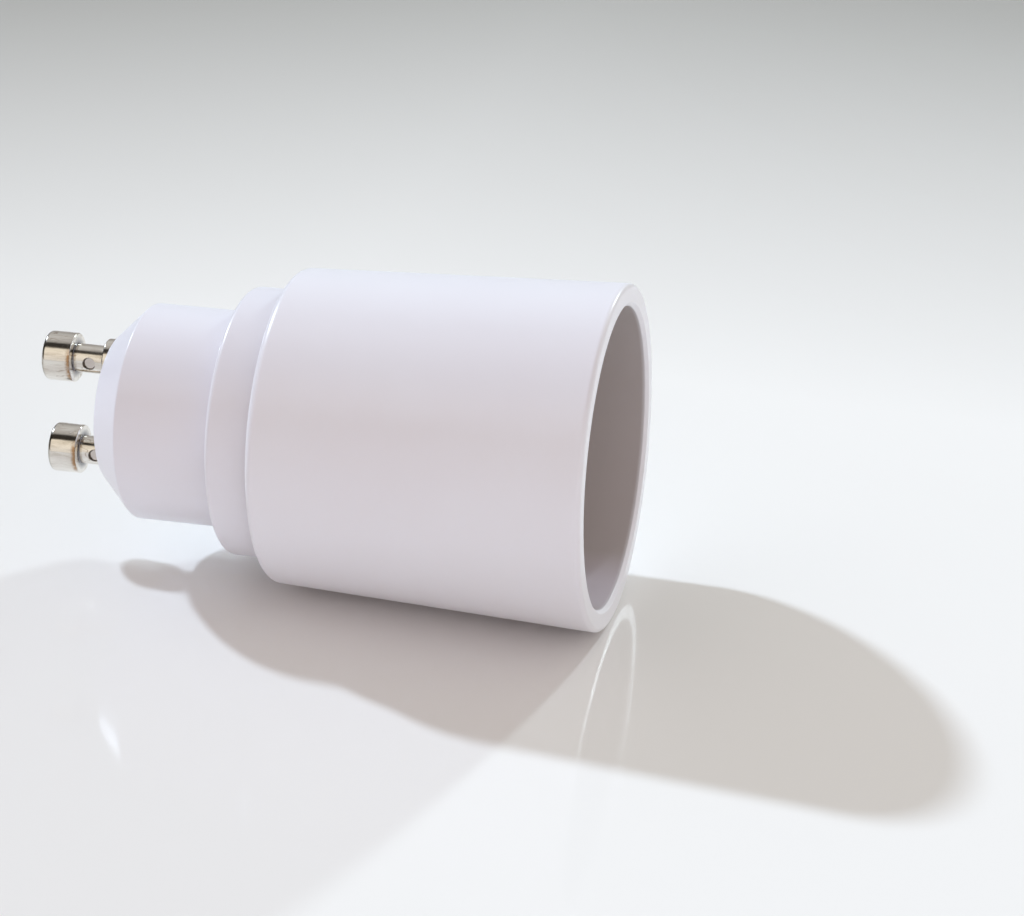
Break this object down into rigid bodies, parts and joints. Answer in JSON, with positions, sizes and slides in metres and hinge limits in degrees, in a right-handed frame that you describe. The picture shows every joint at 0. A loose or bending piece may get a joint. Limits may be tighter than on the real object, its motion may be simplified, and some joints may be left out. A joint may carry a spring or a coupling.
{
  "type": "lamp socket adapter",
  "caption": "Adapter that turns a twist-lock pin lampholder into a screw socket: stepped white barrel, hollow mushroom-head pins, threaded metal shell and sprung centre contact.",
  "frame": {"origin": "centre of the socket mouth's rim plane, on which the adapter stands", "axes": "+Z along the adapter's axis from the socket mouth to the pins; the pins lie on the Y axis"},
  "size_m": [0.0338, 0.0338, 0.0578],
  "materials": {
    "white_plastic": "white moulded plastic, satin gloss, faint bluish cast",
    "carrier_plastic": "heat-resistant moulded plastic, off-white, matt",
    "nickel_shell": "brass sheet, nickel plated, bright",
    "spring_bronze": "phosphor bronze strip, rolled, satin",
    "contact_brass": "turned brass, lightly polished",
    "tag_brass": "tinned brass strip, dull",
    "zinc_steel": "zinc-plated steel, bright",
    "nickel_pin": "turned brass, nickel plated, light tarnish and scratches",
    "spring_steel": "blued spring steel",
    "copper_wire": "bare stranded copper",
    "silicone_sleeve": "silicone rubber insulation, white, matt",
    "solder": "soft solder, smooth"
  },
  "bodies": {
    "adapter": {"barrel_housing": "white_plastic", "base_housing": "white_plastic", "contact_carrier": "carrier_plastic", "screw_shell": "nickel_shell", "contact_leaf": "spring_bronze", "leaf_rivet": "contact_brass", "shell_rivet_a": "contact_brass", "shell_rivet_b": "contact_brass", "shell_tag": "tag_brass", "leaf_tag": "tag_brass", "case_screw_a": "zinc_steel", "case_screw_b": "zinc_steel", "base_pin_a": "nickel_pin", "base_pin_b": "nickel_pin", "pin_washer_a": "spring_steel", "pin_washer_b": "spring_steel", "lead_wire_a": "copper_wire", "lead_wire_b": "copper_wire", "lead_sleeve_a": "silicone_sleeve", "lead_sleeve_b": "silicone_sleeve", "solder_joint_a": "solder", "solder_joint_b": "solder"},
    "centre_contact": {"contact_button": "contact_brass"}
  },
  "joints": [
    {"name": "centre_contact_press", "type": "slide", "parent": "adapter", "child": "centre_contact", "axis": [0, 0, 1], "range_m": [0, 0.0018], "stiffness_N_per_m": 2500, "deforming": ["contact_leaf"]}
  ]
}
